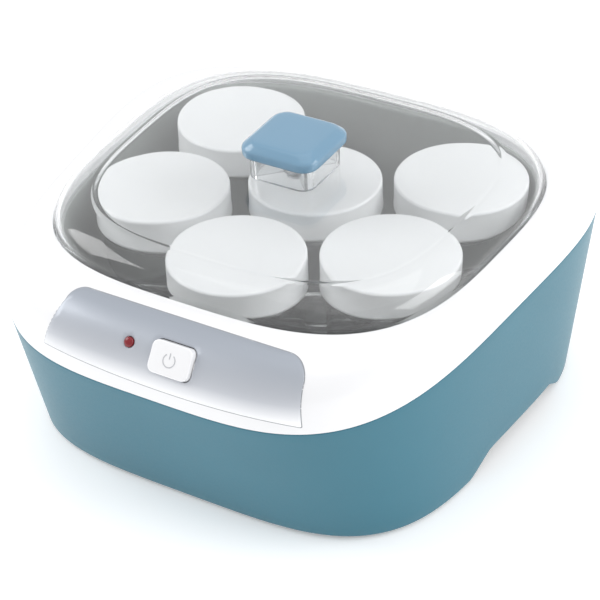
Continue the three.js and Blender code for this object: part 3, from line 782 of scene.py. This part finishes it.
PLAIN = {
    BLACK: ("base_plate", "cord_clamp", "thermostat", "switch_body", "switch_plunger",
            "switch_wire_1", "switch_wire_2", "element_wire_1", "element_wire_2"),
    STEEL: ("sensor_bracket", "reflector_tray", "heating_element", "knob_screw"),
    CAP_WHITE: ("terminal_block",),
    BOARD: ("lamp_board",),
    COPPER: ("thermal_fuse",),
}
for material, names in PLAIN.items():
    for name in names:
        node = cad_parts[name]
        node.data.materials.clear()
        node.data.materials.append(material)

# ------------------------------------------------------------------ lid

FOOT_INSET = 0.8
PLATEAU = RIM_TOP + DOME_RISE


def dome_ring(turn, depth):
    a = turn * math.pi / 2
    inset = FOOT_INSET + (DOME_INSET - FOOT_INSET) * (1 - math.cos(a)) + depth * math.cos(a)
    return flat_ring(SEAM, inset, RIM_TOP + (DOME_RISE - depth) * math.sin(a))


def crown_ring(inset, drop=0.0):
    """Ring on the lid's gently crowned top, between its edge and its flat middle."""
    share = (inset - DOME_INSET) / (CROWN_INSET - DOME_INSET)
    return flat_ring(SEAM, inset, PLATEAU + (CROWN_TOP - PLATEAU) * share - drop)


def lid():
    turns = [0.02] + [i / 24 for i in range(1, 24)]
    crown = [22, 26, 32, 40, 52, 66, CROWN_INSET]
    rings = [crown_ring(inset, LID_WALL) for inset in reversed(crown)]
    rings += [dome_ring(turn, LID_WALL) for turn in reversed(turns)]
    rings += [flat_ring(SEAM, FOOT_INSET + LID_WALL, SEAT + 0.2)]
    rings += [flat_ring(SEAM, FOOT_INSET + LID_WALL - 0.2, SEAT)]
    rings += [flat_ring(SEAM, FOOT_INSET + 0.4, SEAT), flat_ring(SEAM, FOOT_INSET, SEAT + 0.4)]
    rings += [dome_ring(turn, 0) for turn in turns]
    rings += [flat_ring(SEAM, 19.2, PLATEAU + 0.25), flat_ring(SEAM, 19.9, PLATEAU + 0.2)]
    rings += [flat_ring(SEAM, 20.7, PLATEAU - 0.25), crown_ring(22, 0.2)]
    rings += [crown_ring(inset) for inset in crown[1:]]
    return loft("lid_dome", rings, angle=50)


lid_middle = Vector((0, SEAM["y"]))


def upright(radius, low, high, steps=40):
    return lathe("tool", [(0, low), (radius, low), (radius, high), (0, high)], steps, lid_middle)


cover = cut(lid(), upright(2.3, CROWN_TOP - 8, CROWN_TOP + 8))
finish_piece(cover, "lid", "lid_clear", LID_CLEAR, "lid_shell")


def square_ring(side, z, corner):
    return [Vector((x, y + SEAM["y"], z)) for x, y in rounded_rect(side, side, corner, 8)]


stem_low, stem_high = (corner.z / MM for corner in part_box("knob_stem"))
stem = loft("knob_neck", [
    square_ring(STEM_SIDE, stem_low + 0.3, 7), square_ring(STEM_SIDE, stem_high, 7),
    square_ring(STEM_SIDE - 5.4, stem_high, 4.5), square_ring(STEM_SIDE - 5.4, stem_low, 4.5),
    square_ring(STEM_SIDE - 0.6, stem_low, 6.7),
], closed=True)
finish_piece(stem, "lid", "stem_clear", STEM_CLEAR, "knob_stem")
boss_profile = [(2.4, stem_low), (5.4, stem_low), (5.0, stem_high), (2.4, stem_high), (2.4, stem_low)]
boss = lathe("knob_boss", boss_profile, 48, lid_middle)
finish_piece(boss, "lid", "stem_clear", STEM_CLEAR)
for index in range(4):
    turn = Matrix.Rotation(index * math.pi / 2 + math.pi / 4, 4, "Z")
    corners = [Vector((x, y, 0)) for x, y in ((5.1, -0.6), (20.5, -0.6), (20.5, 0.6), (5.1, 0.6))]
    heights = (stem_low + 0.1, stem_high - 0.1)
    rings = [[turn @ p + Vector((0, SEAM["y"], z)) for p in corners] for z in heights]
    rib = loft(f"knob_rib_{index + 1}", rings)
    finish_piece(rib, "lid", "stem_clear", STEM_CLEAR)

cap_low, cap_high = (corner.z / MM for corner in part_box("knob_cap"))


def knob():
    side, inner = KNOB_SIDE, KNOB_SIDE - 8
    rings = [square_ring(side - 2.2, cap_low, 7.6), square_ring(side - 0.9, cap_low + 0.25, 8.1),
             square_ring(side - 0.15, cap_low + 0.9, 8.5), square_ring(side, cap_low + 1.5, 8.6)]
    rings += [square_ring(side, cap_high - 4.3, 8.6), square_ring(side - 0.35, cap_high - 3.75, 8.5)]
    rings += [square_ring(side - 1.1, cap_high - 3.2, 8.2)]
    for share in (0.3, 0.6, 0.88):
        span = side - 1.1 + (inner + 0.8 - side + 1.1) * share
        rings.append(square_ring(span, cap_high - 3.2 + 2.75 * share, 8.2 - 1.4 * share))
    rings += [square_ring(inner + 0.2, cap_high - 0.5, 6.7)]
    rings += [square_ring(inner - 0.9, cap_high - 0.22, 6.3)]
    rings += [square_ring(inner - 3, cap_high - 0.08, 5.6), square_ring(inner - 12, cap_high, 3)]
    return loft("knob_top", rings, angle=24)


finish_piece(cut(knob(), upright(2.3, cap_low - 3, cap_low + 5)), "lid", "knob_blue", KNOB, "knob_cap")

# ------------------------------------------------------------------ jars


def jar(index, at):
    low, high = (corner.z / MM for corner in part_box(f"jar_{index}"))
    radius, neck, glass, shoulder = 31.5, 29.5, 2.9, 93.0
    profile = [(0, low + 1.2), (24, low + 1.2), (26.5, low + 0.2), (27.5, low)]
    profile += arc((28.5, low + 3), 3, -85, 0, 8)
    profile += [(radius, shoulder - 5)] + arc((radius - 2, shoulder - 4), 2, 0, 70, 5)
    profile += [(neck, shoulder + 0.5), (neck, high - 0.9)]
    profile += arc((neck - 0.9, high - 0.9), 0.9, 10, 90, 4)
    profile += [(neck - glass + 0.9, high)] + arc((neck - glass + 0.9, high - 0.9), 0.9, 100, 180, 4)
    profile += [(neck - glass, shoulder - 1), (radius - glass, shoulder - 6), (radius - glass, low + 8)]
    profile += arc((radius - glass - 5, low + glass + 5), 5, 0, -90, 8) + [(0, low + glass)]
    body = lathe(f"jar_glass_{index}", profile, 96, at)
    return finish_piece(body, f"jar_body_{index}", "jar_glass", JAR_CLEAR, f"jar_{index}")


def jar_lid(index, at):
    low, high = (corner.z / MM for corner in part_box(f"jar_lid_{index}"))
    radius = 34.0
    profile = [(0, high - 2), (radius - 3, high - 2), (radius - 2.1, high - 3)]
    profile += [(radius - 2.1, low + 0.4)]
    profile += [(radius - 1.7, low), (radius - 0.5, low), (radius, low + 0.5), (radius, low + 1.8)]
    profile += [(radius - 0.3, low + 2.1), (radius - 0.3, high - 1.7)]
    profile += arc((radius - 1.7, high - 1.4), 1.4, 0, 90, 7)
    profile += [(radius - 4, high - 0.05), (20, high), (0, high)]
    cap = lathe(f"jar_cap_{index}", profile, 128, at, angle=55)
    return finish_piece(cap, f"jar_lid_body_{index}", "jar_lid_white", CAP_WHITE, f"jar_lid_{index}")


for index in range(1, 7):
    middle = middle_mm(f"jar_{index}")
    jar(index, (middle.x, middle.y))
    jar_lid(index, (middle.x, middle.y))

# ------------------------------------------------------------------ stage, light and camera


def stage():
    bpy.ops.mesh.primitive_plane_add(size=12, location=(0, 0, 0))
    floor = bpy.context.object
    floor.name = "floor"
    floor.data.materials.append(node_material(
        "pale_floor", (0.95, 0.95, 0.95), 0.6, spread=0.002, bump=0.0,
        sockets={"Emission Color": (1, 1, 1, 1), "Emission Strength": 0.25},
    ))


def area_light(name, place, target, size, power, colour=(1, 1, 1)):
    light = bpy.data.lights.new(name, "AREA")
    light.shape = "RECTANGLE"
    light.size, light.size_y = size
    light.energy = power
    light.color = colour
    obj = bpy.data.objects.new(name, light)
    bpy.context.scene.collection.objects.link(obj)
    obj.location = place
    obj.rotation_euler = (Vector(target) - Vector(place)).to_track_quat("-Z", "Y").to_euler()
    return obj


def light_scene():
    world = bpy.data.worlds.new("studio")
    bpy.context.scene.world = world
    world.use_nodes = True
    sky = world.node_tree.nodes["Background"]
    sky.inputs["Color"].default_value = (0.985, 0.99, 1.0, 1)
    sky.inputs["Strength"].default_value = 0.82
    area_light("top_soft", (0.1, 0.15, 1.5), (0, 0, 0.1), (1.4, 1.4), 3)
    area_light("right_soft", (1.5, 0.5, 0.9), (0, 0, 0.06), (1.2, 1.0), 12)
    area_light("left_soft", (-1.3, -0.4, 1.0), (0, 0, 0.08), (0.9, 0.9), 9)


def camera():
    """Camera at the photograph's angle, from a fit of the part's outlines."""
    turn, lift, roll = math.radians(31.63), math.radians(35.32), math.radians(-2.43)
    pivot = Vector((0.00915, -0.00377, 0.060))
    back = Vector((math.sin(turn) * math.cos(lift), -math.cos(turn) * math.cos(lift), math.sin(lift)))
    right = (-back).cross(Vector((0, 0, 1))).normalized()
    up = right.cross(-back)
    across = right * math.cos(roll) + up * math.sin(roll)
    above = up * math.cos(roll) - right * math.sin(roll)
    place = pivot + back * 1.0163
    data = bpy.data.cameras.new("camera")
    data.sensor_width = 36
    data.lens = 2026.1 / 600 * 36
    data.dof.use_dof = False
    obj = bpy.data.objects.new("camera", data)
    bpy.context.scene.collection.objects.link(obj)
    obj.matrix_world = Matrix((
        (across.x, above.x, back.x, place.x),
        (across.y, above.y, back.y, place.y),
        (across.z, above.z, back.z, place.z),
        (0, 0, 0, 1),
    ))
    bpy.context.scene.camera = obj


stage()
light_scene()
camera()
bpy.context.scene.view_settings.view_transform = "Standard"
